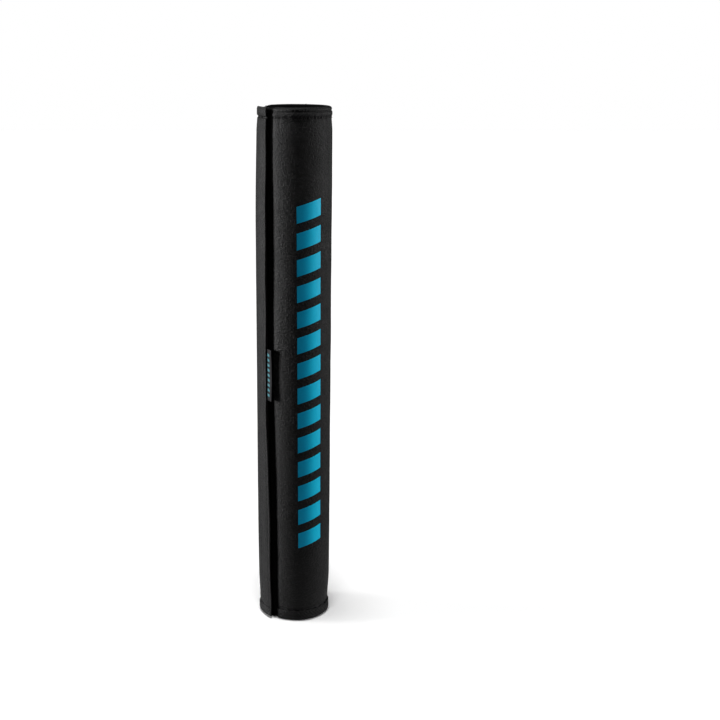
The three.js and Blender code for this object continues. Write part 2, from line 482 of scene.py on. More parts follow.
# %% [markdown]
# A hem is cloth turned back on itself, so it is a second layer over the wall, over the rim and down
# to the stitch row: just past it at the top, and just short of it at the bottom, where the stitches
# pull a crease. Its layers creep as they are sewn, and that leaves slanting puckers between the
# stitches and the rim. Along the top rim the fold stands up in a small tight roll with a crease
# outside it. Each hem is a fine strip of its own, because a fold and such small puckers would need
# far too fine a grid on the whole cover.

# %% Fold the two hems
hem_overlaps = {"top": 1.5 * MM, "bottom": -0.4 * MM}
hem_cloth = 0.5 * MM
hem_lift = 0.05 * MM
hem_fold = 0.2 * MM
hem_column = 0.55 * MM
hem_grain = 0.5 * MM
butt_gap = 0.4 * MM
clear = 1.6 * MM
ropings = {"top": 0.35 * MM, "bottom": 0.9 * MM}
roping_pitch = 3.3 * MM
roping_slant = 0.9
roping_start = 0.3 * MM
roping_ease = 2 * MM
roping_drift = 7.4 * MM
roping_change = 5.3 * MM
roll = 0.4 * MM
roll_width = 1.1 * MM
roll_at = 4.5 * MM
crease = 0.9 * MM
crease_width = 0.75 * MM
crease_at = 6.9 * MM
edge_tuck = 0.8 * MM
edge_tuck_width = 1.2 * MM
loop_edge_turn = flap_edge_turn - 360 + degrees_for(loop_show + butt_gap)
flap_root_edge_turn = flap_root_turn - degrees_for(butt_gap)


def roped(end, arc, from_row):
    """The slanting puckers of a hem, from its stitch row to the rim."""
    rim = hem_widths[end]
    swell = smooth(from_row, roping_start, roping_ease) * (1 - smooth(from_row, rim - roping_ease, rim))
    wander = 0.6 * np.sin(arc / roping_drift)
    rib = np.abs(np.sin(np.pi * (arc - roping_slant * from_row) / roping_pitch + wander))
    uneven = 0.75 + 0.25 * np.sin(arc / roping_change + 0.4)
    return ropings[end] * uneven * swell * rib


def rim_roll(from_end):
    """The tight roll of the folded cloth along the rim, and the crease outside it."""
    return roll * bell(from_end - roll_at, roll_width) - crease * bell(from_end - crease_at, crease_width)


def vertex_normals(piece):
    normals = np.empty(len(piece.data.vertices) * 3, dtype=np.float32)
    piece.data.vertex_normals.foreach_get("vector", normals)
    return normals.reshape(-1, 3)


def face_outwards(piece):
    """Turns an open sheet over if it faces the pad's axis."""
    from_axis = coordinates(piece) - (axis_x, axis_y, 0)
    if (from_axis[:, :2] * vertex_normals(piece)[:, :2]).sum() < 0:
        edit_whole(piece, bpy.ops.mesh.flip_normals)


def lay_on(piece, target, gap):
    """Moves a sheet to lie a gap above the surface under it, along that surface's nearest points."""
    nearest_above = {"wrap_method": "NEAREST_SURFACEPOINT", "wrap_mode": "ABOVE_SURFACE"}
    apply_modifier(piece, "SHRINKWRAP", target=target, offset=gap, **nearest_above)


def thicken(piece, thickness, offset, fold, **settings):
    """Gives a sheet its thickness, and rounds its folded edges with a bevel."""
    apply_modifier(piece, "SOLIDIFY", thickness=thickness, offset=offset)
    apply_modifier(piece, "BEVEL", width=fold, limit_method="ANGLE", **settings)


def fold_hem(end):
    overlap = hem_overlaps[end]
    straight = hem_widths[end] + overlap - rim_round
    over_rim = rim_round * math.pi / 2
    length = straight + over_rim + (wall / 2 - rim_round if end == "top" else 0)
    below = 1 if end == "bottom" else -1

    def hem_place(turn, along, face):
        angle = np.clip((along - straight) / rim_round, 0, math.pi / 2)
        past = np.clip(along - straight - over_rim, 0, None)
        from_rim = rim_round - (rim_round + clear) * np.sin(angle) + np.clip(straight - along, 0, None)
        height = from_rim if end == "bottom" else pad_length - from_rim
        radius = cover_radius - rim_round + (rim_round + clear) * np.cos(angle) - past
        cloth = (arc_for(turn), hem_rows[end] - below * along)
        return rolled(turn, radius, height), cloth

    across = even_steps(loop_edge_turn, flap_root_edge_turn, degrees_for(hem_column))
    hem = form(f"{end}_hem", across, even_steps(0, length, hem_grain), hem_place)
    lay_on(hem, cover, hem_lift)
    face_outwards(hem)
    arc = arc_for(kept_value(hem, "across"))
    along = kept_value(hem, "along")
    pushed = roped(end, arc, along - overlap) - stitch_holes(arc, along - overlap)
    tucked_edge = length - along if end == "top" else along
    pushed -= edge_tuck * (1 - smooth(tucked_edge, 0, edge_tuck_width))
    if end == "top":
        pushed += rim_roll(length - along)
    set_coordinates(hem, coordinates(hem) + vertex_normals(hem) * pushed[:, None])
    thicken(hem, hem_cloth, 1, hem_fold, segments=2, angle_limit=math.radians(60))
    set_above_floor(hem, coordinates(hem))
    report(hem)
    return hem


hems = {end: fold_hem(end) for end in hem_rows}

# %% [markdown]
# The flap is a double strip of the same cloth. Its root is sewn beside the slit, it climbs over the
# slit and then lies on the closed tapes, pressed flatter near both ends. It is formed as one sheet.

# %% Form the closure flap
flap_thickness = 1.5 * MM
flap_low = 2 * MM
flap_high = pad_length + 0.9 * MM
flap_rise = 20
flap_dip = 2 * MM
dip_turns = (10, 45)
dip_height = 30 * MM
loop_width = 28 * MM
loop_thickness = 1.6 * MM
hook_thickness = 1.5 * MM
layer_gap = 0.3 * MM
top_squeeze = 0.68
bottom_squeeze = 0.85
closure_ease = 110 * MM
edge_wave = 0.5 * MM
edge_wave_turn = 14
wave_lengths = (0.17, 0.071)
flap_column_step = 1.6 * MM
flap_row_step = 4 * MM
flap_hem_step = 0.8 * MM

loop_radius = cover_radius + layer_gap
hook_radius = loop_radius + loop_thickness + layer_gap
flap_radius = hook_radius + hook_thickness + layer_gap
loop_start_turn = flap_edge_turn + degrees_for(loop_show - loop_width, loop_radius)
loop_end_turn = flap_edge_turn + degrees_for(loop_show, loop_radius)


def closure_share(height):
    from_bottom = bottom_squeeze + (1 - bottom_squeeze) * smooth(height, 0, closure_ease)
    from_top = top_squeeze + (1 - top_squeeze) * smooth(pad_length - height, 0, closure_ease)
    return from_bottom * from_top


def closed_on(turn, radius, height):
    """A point of the closure, which rides on the body's outside."""
    above = (radius - cover_radius) * closure_share(height)
    return rolled(turn, cover_radius + above, height, on_wall=cover_radius)


def flap_seat(turn):
    climb_end = loop_start_turn - degrees_for(layer_gap, loop_radius)
    return loop_radius + (flap_radius - loop_radius) * smooth(turn, climb_end - flap_rise, climb_end)


def edge_ripple(height):
    """The slow waves of a sewn strip's free edge, from -1 to 1."""
    slow, quick = (2 * np.pi * height / length for length in wave_lengths)
    return 0.6 * np.sin(slow + 0.6) + 0.4 * np.sin(quick + 2.1)


def flap_place(turn, height, face):
    at_edge = smooth(turn, flap_edge_turn - edge_wave_turn, flap_edge_turn)
    lift = edge_wave * edge_ripple(height) * at_edge
    radius = flap_seat(turn) + flap_thickness / 2 + lift
    cloth = (arc_for(turn, flap_radius), height)
    near_root = 1 - smooth(turn, flap_root_turn + dip_turns[0], flap_root_turn + dip_turns[1])
    dip = flap_dip * near_root * smooth(height, pad_length - dip_height, pad_length)
    return closed_on(turn, radius, height - dip), cloth


flap_across = even_steps(flap_root_turn, flap_edge_turn, degrees_for(flap_column_step, flap_radius))
flap_along = steps_up(flap_low, flap_high, flap_hem_step, flap_row_step)
flap = form("flap", flap_across, flap_along, flap_place)
print("flap", len(flap_across), "columns", len(flap_along), "rows")

# %% [markdown]
# Then the sheet gets the thickness of its two layers, with a bevel for the folded edges. Its thread
# rows are pressed into the outer face, and its two hems are drawn in like those of the body.

# %% Give the flap its two layers and folded edges
flap_fold = 0.65 * MM
flap_rows_in = {"edge": 2.4 * MM, "hook": 14 * MM}
flap_root_rows_in = {"root": 2.5 * MM, "root_inner": 8 * MM}
flap_groove = 0.35 * MM
hem_groove = 2.5 * flap_groove


def flap_row_turns():
    """The turn of each stitch row that runs up the flap."""
    rows = {name: flap_edge_turn - degrees_for(d, flap_radius) for name, d in flap_rows_in.items()}
    for name, inset in flap_root_rows_in.items():
        rows[name] = flap_root_turn + degrees_for(inset, flap_radius)
    return rows


def flap_inner_radius(turn, height):
    seat = closed_on(turn, flap_seat(turn), height)
    return np.hypot(seat[:, 0] - axis_x, seat[:, 1] - axis_y)


def draw_in_flap(piece):
    """Presses the stitch rows into the flap's outer face, and draws its two hems in as the body's."""
    points = coordinates(piece)
    turn, radius = turn_and_radius(points)
    height = points[:, 2]
    outer = smooth(radius - flap_inner_radius(turn, height), 0.2 * MM, flap_thickness * 0.8)
    moved = np.zeros_like(height)
    for row_turn in flap_row_turns().values():
        groove = bell(arc_for(turn - row_turn, flap_radius), groove_width)
        moved -= flap_groove * groove * (0.8 + 0.2 * stitch_beat(height))
    for end in hem_rows:
        from_row = from_hem_row(end, height)
        moved -= hem_groove * bell(from_row, groove_width)
        moved += roped(end, arc_for(turn, flap_radius), from_row)
    push_from_axis(points, moved * outer, radius)
    set_coordinates(piece, points)


thicken(flap, flap_thickness, 0, flap_fold, segments=3)
apply_modifier(flap, "SUBSURF", levels=1, render_levels=1)
draw_in_flap(flap)
make_uneven(flap, uneven_size, unevenness / 2)
report(flap)

# %% [markdown]
# The loop side of the closure is sewn to the cover, and its edge peeks out beside the flap. It has a
# thin woven selvedge, where it is stitched, and a thicker brushed pile. The hook side stays the CAD
# node that it is, hidden under the flap.

# %% Form the loop tape
selvedge = 2.6 * MM
selvedge_thickness = 0.5 * MM
selvedge_sink = 0.5 * MM
loop_inset = 1.5 * MM
loop_column_step = 0.9 * MM
loop_row_step = 1.6 * MM
loop_fold = 0.25 * MM
pile_size = 1.6 * MM
pile_roughness = 0.22 * MM


def loop_place(turn, height, face):
    from_edge = arc_for(loop_end_turn - turn, loop_radius)
    from_side = np.minimum(from_edge, arc_for(turn - loop_start_turn, loop_radius))
    raised = selvedge_thickness + (loop_thickness - selvedge_thickness) * smooth(
        from_side, selvedge - 0.5 * MM, selvedge + 0.3 * MM
    )
    sink = selvedge_sink * (1 - smooth(from_edge, 0, selvedge))
    cloth = (arc_for(turn, loop_radius), height)
    return closed_on(turn, loop_radius - sink + face * raised, height), cloth


loop_across = even_steps(loop_start_turn, loop_end_turn, degrees_for(loop_column_step, loop_radius))
loop_along = even_steps(loop_inset, pad_length - loop_inset, loop_row_step)
loop_tape = form("loop_tape_pile", loop_across, loop_along, loop_place, backs=1)
apply_modifier(loop_tape, "BEVEL", width=loop_fold, segments=2, limit_method="ANGLE")
make_uneven(loop_tape, pile_size, pile_roughness)
report(loop_tape)

# %% [markdown]
# The tag is a strip of satin ribbon, folded once, with both ends sewn under the flap's edge. Its
# path is drawn in plan: out along the tangent, round a small fold and back. The corners lift a
# little, since only the root is held.

# %% Fold the side tag
tag_height = 50 * MM
tag_raise = 2.5 * MM
tag_reach = 7 * MM
tag_lap = 1.2 * MM
tag_fold = 0.45 * MM
ribbon_thickness = 0.28 * MM
ribbon_fold = 0.08 * MM
tag_curl = 1.1 * MM
tag_clear = 0.05 * MM
tag_middle = pad_length / 2 + tag_raise
tag_low = tag_middle - tag_height / 2
tag_straight = tag_reach + tag_lap - tag_fold
tag_bend = math.pi * tag_fold
tag_path_length = 2 * tag_straight + tag_bend


def tag_path(along):
    """Along the folded ribbon from 0 to 1: how far out it is, and how far off its own middle."""
    walked = np.asarray(along) * tag_path_length
    bend_angle = np.clip((walked - tag_straight) / tag_fold, 0, math.pi)
    back = np.clip(walked - tag_straight - tag_bend, 0, None)
    out = np.minimum(walked, tag_straight) + tag_fold * np.sin(bend_angle) - back
    return out - tag_lap, -tag_fold * np.cos(bend_angle), walked


def tag_place(along, height, face):
    out, off, walked = tag_path(along)
    angle = np.radians(wrapped(flap_edge_turn, height))
    under_flap = edge_wave * edge_ripple(height) - tag_fold - ribbon_thickness / 2 - tag_clear
    root = closed_on(flap_edge_turn, flap_radius + under_flap, height)
    from_middle = (height - tag_middle) / (tag_height / 2)
    reach_share = np.clip(out / tag_reach, 0, 1)
    lift = tag_curl * reach_share**2 * (0.35 + 0.65 * from_middle**2) + off
    x = root[:, 0] + out * np.cos(angle) + lift * np.sin(angle)
    y = root[:, 1] + out * np.sin(angle) - lift * np.cos(angle)
    return np.stack([x, y, height], axis=-1), (walked, height)


tag = form("tag", np.linspace(0, 1, 49), np.linspace(tag_low, tag_low + tag_height, 41), tag_place)
thicken(tag, ribbon_thickness, 0, ribbon_fold, segments=2)
report(tag)

# %% [markdown]
# The tag carries a plain row of slanted woven marks. Each mark is a small slab of satin stitch, a
# little proud of the ribbon's outer face, made once as a function of its number.

# %% Weave the marks on the tag
tag_marks = 9
mark_width = 2.9 * MM
mark_height = 2.5 * MM
mark_slant = 0.9 * MM
mark_pitch = 4.9 * MM
mark_proud = 0.1 * MM
mark_clear = 0.6 * MM
mark_start = 0.9 * MM


def tag_mark(number):
    low = tag_middle + (number - (tag_marks - 1) / 2) * mark_pitch - mark_height / 2
    first = tag_path_length - tag_lap - mark_start - mark_width

    def mark_place(across, height, face):
        slanted = height + mark_slant * (across - 0.5)
        points, cloth = tag_place((first + across * mark_width) / tag_path_length, slanted, face)
        angle = np.radians(flap_edge_turn)
        points += np.array([np.sin(angle), -np.cos(angle), 0]) * mark_clear
        return points, cloth

    along = np.linspace(low, low + mark_height, 6)
    return form(f"tag_mark_{number + 1:02d}", np.linspace(0, 1, 6), along, mark_place)


marks = [tag_mark(number) for number in range(tag_marks)]
for mark in marks:
    lay_on(mark, tag, mark_proud)
    apply_modifier(mark, "SOLIDIFY", thickness=mark_proud * 1.5, offset=-1)
report(*marks)

# %% [markdown]
# The print is a column of slanted bars of transfer film. A bar starts as a flat grid, is bent to the
# roll, and is then shrinkwrapped so that it follows every hollow of the cloth under it.

# %% Lay the print on the cover
print_bottom = 79 * MM
print_top = 420 * MM
print_start_turn = 2
print_turn = 41.5
print_bars = 14
print_gap = 9 * MM
print_slant = 7 * MM
film_clear = 2 * MM
film_proud = 0.1 * MM
film_thickness = 0.1 * MM


def print_bar(number):
    pitch = (print_top - print_slant - print_bottom + print_gap) / print_bars
    low = print_bottom + number * pitch
    high = low + pitch - print_gap

    def bar_place(turn, height, face):
        share = (turn - print_start_turn) / print_turn
        cloth = (share * math.radians(print_turn) * cover_radius, height)
        return rolled(turn, cover_radius + film_clear, height + print_slant * share), cloth

    across = np.linspace(print_start_turn, print_start_turn + print_turn, 25)
    return form(f"print_film_{number + 1:02d}", across, np.linspace(low, high, 15), bar_place)


bars = [print_bar(number) for number in range(print_bars)]
for bar in bars:
    lay_on(bar, cover, film_proud)
    apply_modifier(bar, "SOLIDIFY", thickness=film_thickness, offset=-1)
report(*bars)

# %% [markdown]
# Stitching is one small grain of thread, repeated. The grain is shaped once from a sphere, an Array
# modifier repeats it for the length of a curve, and a Curve modifier bends the row along it. The
# curve's own points are taken from the sewn surface, so every stitch sits in its groove.

# %% Sew the stitch rows
thread_radius = 0.3 * MM
thread_length = 2.3 * MM
thread_sink = 0.12 * MM
row_points = 260
upright_points = 320
row_inset = 3
lining_row_inset = 4
thread_guess = 2 * MM
flap_guess = 6 * MM
selvedge_row_in = 1.5 * MM


def stitch_grain(name):
    bpy.ops.object.select_all(action="DESELECT")
    bpy.ops.mesh.primitive_uv_sphere_add(segments=6, ring_count=5, radius=1)
    grain = bpy.context.active_object
    grain.name = grain.data.name = name
    across = {"value": math.pi / 2, "orient_axis": "Y", "center_override": (0, 0, 0)}
    edit_whole(grain, bpy.ops.transform.rotate, **across)
    edit_whole(grain, bpy.ops.transform.resize, value=(thread_length / 2, thread_radius, thread_radius))
    edit_whole(grain, bpy.ops.transform.translate, value=(stitch_pitch / 2, 0, 0))
    return grain


def on_surface(piece, guesses):
    """The nearest points of the piece to these guesses, sunk a little into its cloth."""
    nearest = [piece.closest_point_on_mesh(guess) for guess in guesses]
    return [point - normal * thread_sink for _, point, normal, _ in nearest]


def sew_row(name, piece, guesses):
    points = on_surface(piece, guesses)
    route = bpy.data.curves.new(f"{name}_route", "CURVE")
    route.dimensions = "3D"
    route.use_path = True
    spline = route.splines.new("POLY")
    spline.points.add(len(points) - 1)
    for place, point in zip(spline.points, points):
        place.co = (*point, 1)
    guide = bpy.data.objects.new(f"{name}_route", route)
    bpy.context.collection.objects.link(guide)
    row = stitch_grain(name)
    spacing = {"use_constant_offset": True, "constant_offset_displace": (stitch_pitch, 0, 0)}
    apply_modifier(row, "ARRAY", fit_type="FIT_CURVE", curve=guide, use_relative_offset=False, **spacing)
    apply_modifier(row, "CURVE", object=guide, deform_axis="POS_X")
    bpy.data.objects.remove(guide)
    return row


def round_row(height, radius, first_turn, last_turn):
    return rolled(np.linspace(first_turn, last_turn, row_points), radius, height)


def upright_row(turn, radius, low, high):
    return closed_on(turn, radius, np.linspace(low, high, upright_points))


rows = []
for end, height in hem_rows.items():
    row_from = loop_end_turn - 360 + 2
    outside = round_row(height, cover_radius + thread_guess, row_from, flap_root_turn - row_inset)
    rows.append(sew_row(f"stitches_{end}_hem", hems[end], outside))
    row_from, row_to = panel_start + lining_row_inset, panel_end - lining_row_inset
    inside = round_row(height, bore_radius - thread_guess, row_from, row_to)
    rows.append(sew_row(f"stitches_{end}_lining", lining, inside))
    row_from, row_to = flap_root_turn + row_inset, flap_edge_turn - row_inset
    on_flap = round_row(height, flap_radius + flap_guess, row_from, row_to)
    rows.append(sew_row(f"stitches_{end}_flap", flap, on_flap))
for name, turn in flap_row_turns().items():
    guesses = upright_row(turn, flap_radius + flap_guess, flap_low + 2 * MM, flap_high - 2 * MM)
    rows.append(sew_row(f"stitches_flap_{name}", flap, guesses))
selvedge_turn = loop_end_turn - degrees_for(selvedge_row_in, loop_radius)
loop_guesses = upright_row(selvedge_turn, loop_radius + thread_guess, 4 * MM, pad_length - 4 * MM)
tape_row = sew_row("stitches_loop_tape", loop_tape, loop_guesses)
rows.append(tape_row)
report(*rows)

# %% [markdown]
# Four effects are shared by several finishes, so each is a node group: a plain weave of threads that
# pass over and under each other, the slubs where a thread runs thick, the uneven tone of the cloth's
# dye with painted shade in the gaps between its threads, and the roughness of lint. They put out
# only heights, masks and colours, and every shader stays in its own material.

# %% Shared effects
def new_group(name, inputs, outputs):
    """A node group, with the sockets inside it; n is a number, v a vector and c a colour."""
    group = bpy.data.node_groups.new(name, "ShaderNodeTree")
    kinds = {"v": "NodeSocketVector", "n": "NodeSocketFloat", "c": "NodeSocketColor"}
    for side, sockets in (("INPUT", inputs), ("OUTPUT", outputs)):
        for socket, kind in sockets.items():
            group.interface.new_socket(socket, in_out=side, socket_type=kinds[kind])
    return group, group.nodes.new("NodeGroupInput").outputs, group.nodes.new("NodeGroupOutput").inputs


def wire(tree, value, socket):
    """Links a socket, or sets it to a plain value."""
    if isinstance(value, bpy.types.NodeSocket):
        tree.links.new(value, socket)
    else:
        socket.default_value = value


def add(tree, kind, settings=None, **values):
    """Adds a node and fills its inputs, whose names have _ for each space; gives its outputs."""
    node = tree.nodes.new("ShaderNode" + kind)
    for name, value in (settings or {}).items():
        setattr(node, name, value)
    for name, value in values.items():
        wire(tree, value, node.inputs[name.replace("_", " ")])
    return node.outputs


def maths(tree, operation, *values):
    node = tree.nodes.new("ShaderNodeMath")
    node.operation = operation
    for value, socket in zip(values, node.inputs):
        wire(tree, value, socket)
    return node.outputs[0]


def noise(tree, place, scale, detail=2.0, roughness=0.5):
    return add(tree, "TexNoise", Vector=place, Scale=scale, Detail=detail, Roughness=roughness)["Fac"]


def mixed(tree, share, a, b):
    return add(tree, "Mix", {"data_type": "RGBA"}, Factor=share, A=a, B=b)["Result"]


def weave_group():
    """Threads of a plain weave: where they stand high, and where the gaps between them lie."""
    taken = {"Cloth place": "v", "Threads per metre": "n", "Looseness": "n"}
    group, given, made = new_group("Plain weave", taken, {"Height": "n", "Gap": "n"})
    place, count = given["Cloth place"], given["Threads per metre"]
    wander = noise(group, place, 140.0)
    pushed = maths(group, "MULTIPLY", maths(group, "SUBTRACT", wander, 0.5), given["Looseness"])
    scaled = add(group, "VectorMath", {"operation": "SCALE"}, Vector=place, Scale=count)
    parts = add(group, "SeparateXYZ", Vector=scaled[0])
    across = maths(group, "ADD", parts["X"], pushed)
    along = maths(group, "ADD", parts["Y"], pushed)

    def thread(side, other, sign):
        ridge = maths(group, "ABSOLUTE", maths(group, "SINE", maths(group, "MULTIPLY", side, math.pi)))
        turned = maths(group, "ADD", other, maths(group, "FLOOR", side))
        wave = maths(group, "SINE", maths(group, "MULTIPLY", turned, math.pi))
        over = maths(group, "MULTIPLY_ADD", wave, 0.5 * sign, 0.5)
        return maths(group, "MULTIPLY", ridge, over)

    high = maths(group, "MAXIMUM", thread(across, along, 1), thread(along, across, -1))
    wire(group, high, made["Height"])
    wire(group, maths(group, "SUBTRACT", 1.0, high), made["Gap"])
    return group


def slub_group():
    """Thick places of the threads, each stretched along its own thread, in both directions."""
    group, given, made = new_group("Slubs", {"Cloth place": "v"}, {"Height": "n"})
    found = []
    for stretch in ((1, 0.45, 1), (0.45, 1, 1)):
        stretched = add(group, "Mapping", Scale=stretch, Vector=given["Cloth place"])
        found.append(noise(group, stretched["Vector"], 850.0, detail=1.0))
    wire(group, maths(group, "MAXIMUM", *found), made["Height"])
    return group


def dye_and_gap_shade_group():
    """A cloth's tone, lighter and darker in slow clouds and single threads; painted shade darkens its
    gaps.
    """
    taken = {"Place": "v", "Dark": "c", "Light": "c", "Gap": "n"}
    group, given, made = new_group("Uneven dye and gap shade", taken, {"Colour": "c"})
    clouds = noise(group, given["Place"], 38.0, detail=3.0)
    threads = noise(group, given["Place"], 520.0, detail=1.0)
    slow, quick = (maths(group, "MULTIPLY", part, 0.6) for part in (clouds, threads))
    both = maths(group, "ADD", slow, quick)
    # Darker where the gap mask is high: painted shade between the threads.
    lit = maths(group, "MULTIPLY_ADD", given["Gap"], -0.5, both)
    wire(group, mixed(group, lit, given["Dark"], given["Light"]), made["Colour"])
    return group


def lint_group():
    """Fine fuzz, for bump, and the patchy roughness that it gives."""
    taken = {"Place": "v", "Plain roughness": "n", "Spread": "n"}
    group, given, made = new_group("Lint", taken, {"Fuzz": "n", "Roughness": "n"})
    fuzz = noise(group, given["Place"], 900.0, detail=3.0, roughness=0.7)
    patches = noise(group, given["Place"], 60.0, detail=2.0)
    spread = maths(group, "MULTIPLY", maths(group, "SUBTRACT", patches, 0.5), given["Spread"])
    wire(group, fuzz, made["Fuzz"])
    wire(group, maths(group, "ADD", given["Plain roughness"], spread), made["Roughness"])
    return group


plain_weave = weave_group()
slubs = slub_group()
dye_and_gap_shade = dye_and_gap_shade_group()
lint = lint_group()
print("shared effects", [group.name for group in bpy.data.node_groups])

# %% [markdown]
# Each finish below is a Principled shader fed by those groups. The threads follow the cloth, so
# they read the piece's own UV map, which holds metres of cloth, and the clouds of dye read the
# object's place. Black cloth has hardly any colour: what shows it is its sheen and its roughness.

# %% Finishes
weave_pitch = 0.75 * MM
film_width = math.radians(print_turn) * cover_radius
# Shares of the film's width: painted shade keeps its teal deep up to the first, painted light makes it
# pale from the second.
film_painted_shade_to = 0.2
film_painted_light_from = 0.75


def grey(value):
    return (value, value, value, 1)


def group_in(tree, group, **values):
    return add(tree, "Group", {"node_tree": group}, **values)


def bare_finish(name, **settings):
    """A material with only a Principled shader, whose plain values are set on its sockets."""
    material = bpy.data.materials.new(name)
    material.use_nodes = True
    shader = material.node_tree.nodes["Principled BSDF"]
    for socket, value in settings.items():
        shader.inputs[socket.replace("_", " ")].default_value = value
    return material, material.node_tree, shader


def places(tree):
    """The cloth's own place, and the object's place."""
    where = add(tree, "TexCoord")
    return where["UV"], where["Object"]


def raise_surface(tree, shader, height, distance, **under):
    """Adds a bump to the shader, over the normal of another one where it is given as Normal."""
    normal = add(tree, "Bump", Distance=distance, Height=height, **under)["Normal"]
    wire(tree, normal, shader.inputs["Normal"])
    return normal


# Gives a shader the cloth's tone, with painted shade where the gap mask is high.
def dyed_and_gap_shaded(tree, shader, place, dark, light, gap):
    colour = group_in(tree, dye_and_gap_shade, Place=place, Dark=dark, Light=light, Gap=gap)
    wire(tree, colour["Colour"], shader.inputs["Base Color"])


def linty(tree, shader, place, roughness, spread):
    fuzz = group_in(tree, lint, Place=place, Plain_roughness=roughness, Spread=spread)
    wire(tree, fuzz["Roughness"], shader.inputs["Roughness"])
    return fuzz["Fuzz"]


def woven(tree, cloth, pitch, looseness=0.5):
    count = 1 / pitch
    return group_in(tree, plain_weave, Cloth_place=cloth, Threads_per_metre=count, Looseness=looseness)


def woven_finish(name, dark, light, pitch, relief, roughness, looseness=0.5, slub=0.0, **settings):
    material, tree, shader = bare_finish(name, **settings)
    cloth, place = places(tree)
    threads = woven(tree, cloth, pitch, looseness)
    # Painted shade: the cloth is darker in the gaps between its threads.
    dyed_and_gap_shaded(tree, shader, place, dark, light, threads["Gap"])
    fuzz = linty(tree, shader, place, roughness, 0.22)
    thick = group_in(tree, slubs, Cloth_place=cloth)
    uneven = raise_surface(tree, shader, thick["Height"], slub)
    soft = raise_surface(tree, shader, fuzz, relief * 0.5, Normal=uneven)
    raise_surface(tree, shader, threads["Height"], relief, Normal=soft)
    return material


cover_cloth = woven_finish(
    "woven cover cloth",
    grey(0.0008),
    (0.005, 0.005, 0.0055, 1),
    pitch=weave_pitch,
    relief=0.12 * MM,
    roughness=0.54,
    slub=1.2 * MM,
    Specular_IOR_Level=0.17,
    Sheen_Weight=0.02,
    Sheen_Roughness=0.5,
)
lining_feel = {"pitch": 0.4 * MM, "relief": 0.05 * MM, "roughness": 0.85, "Specular_IOR_Level": 0.04}
lining_cloth = woven_finish("plain lining cloth", grey(0.0005), grey(0.002), **lining_feel)
pile_feel = {"pitch": 1.1 * MM, "relief": 0.25 * MM, "roughness": 0.95, "Specular_IOR_Level": 0.03}
pile_cloth = woven_finish("brushed loop pile", grey(0.0005), grey(0.003), looseness=2.5, **pile_feel)
hook_feel = {"pitch": 1.3 * MM, "relief": 0.3 * MM, "roughness": 0.5}
hook_cloth = woven_finish("hook tape nylon", grey(0.003), grey(0.01), **hook_feel)
thread_feel = {"pitch": 0.3 * MM, "relief": 0.05 * MM, "roughness": 0.5, "Specular_IOR_Level": 0.2}
black_thread = woven_finish("black sewing thread", grey(0.001), (0.008, 0.008, 0.009, 1), **thread_feel)
ribbon_feel = {"pitch": 0.35 * MM, "relief": 0.04 * MM, "roughness": 0.55, "Specular_IOR_Level": 0.08}
ribbon_shades = (0.006, 0.006, 0.007, 1), (0.016, 0.016, 0.018, 1)
ribbon_cloth = woven_finish("satin ribbon", *ribbon_shades, **ribbon_feel)
mark_feel = {"pitch": 0.3 * MM, "relief": 0.05 * MM, "roughness": 0.55, "Specular_IOR_Level": 0.08}
mark_shades = (0.03, 0.13, 0.16, 1), (0.09, 0.25, 0.29, 1)
mark_thread = woven_finish("teal satin thread", *mark_shades, **mark_feel)


def foam_finish():
    """Closed-cell foam: fine open pits in a matt skin."""
    material, tree, shader = bare_finish("closed cell foam", Specular_IOR_Level=0.25, Roughness=0.9)
    place = places(tree)[1]
    pits = add(tree, "TexVoronoi", Scale=900, Vector=place)["Distance"]
    dyed_and_gap_shaded(tree, shader, place, (0.02, 0.02, 0.021, 1), (0.05, 0.05, 0.052, 1), pits)
    raise_surface(tree, shader, pits, 0.2 * MM)
    return material


def film_finish():
    """Transfer film, a thin skin in which the threads still show, with painted light: its teal grows
    paler to the right, where the right lights fall.
    """
    material, tree, shader = bare_finish("teal transfer film", Specular_IOR_Level=0.15)
    cloth, place = places(tree)
    threads = woven(tree, cloth, weave_pitch)
    across = add(tree, "SeparateXYZ", Vector=cloth)["X"]
    # Painted light: the teal grows paler towards the right, where the right lights fall.
    painted_light_over = {"From_Min": film_painted_shade_to * film_width, "From_Max": film_painted_light_from * film_width}
    painted_light_share = add(tree, "MapRange", {"interpolation_type": "SMOOTHSTEP"}, Value=across, **painted_light_over)
    dark = mixed(tree, painted_light_share["Result"], (0.001, 0.31, 0.55, 1), (0.003, 0.6, 0.93, 1))
    light = mixed(tree, painted_light_share["Result"], (0.002, 0.37, 0.65, 1), (0.005, 0.68, 0.99, 1))
    # Painted shade: the film is darker in the gaps between the threads under it.
    dyed_and_gap_shaded(tree, shader, place, dark, light, threads["Gap"])
    linty(tree, shader, place, 0.42, 0.2)
    raise_surface(tree, shader, threads["Height"], 0.06 * MM)
    return material


foam_skin = foam_finish()
film_skin = film_finish()
print("finishes", [material.name for material in bpy.data.materials])

# %% [markdown]
# Now each piece gets its finish, rides on the one body of the pad, and hides the CAD nodes that it
# stands for.

# %% Dress the pieces
def dress(piece, finish, replaced=(), smooth_angle=40):
    piece.data.materials.append(finish)
    select_only(piece)
    bpy.ops.object.shade_smooth_by_angle(angle=math.radians(smooth_angle))
    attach(piece, "root")
    if replaced:
        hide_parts(*replaced)


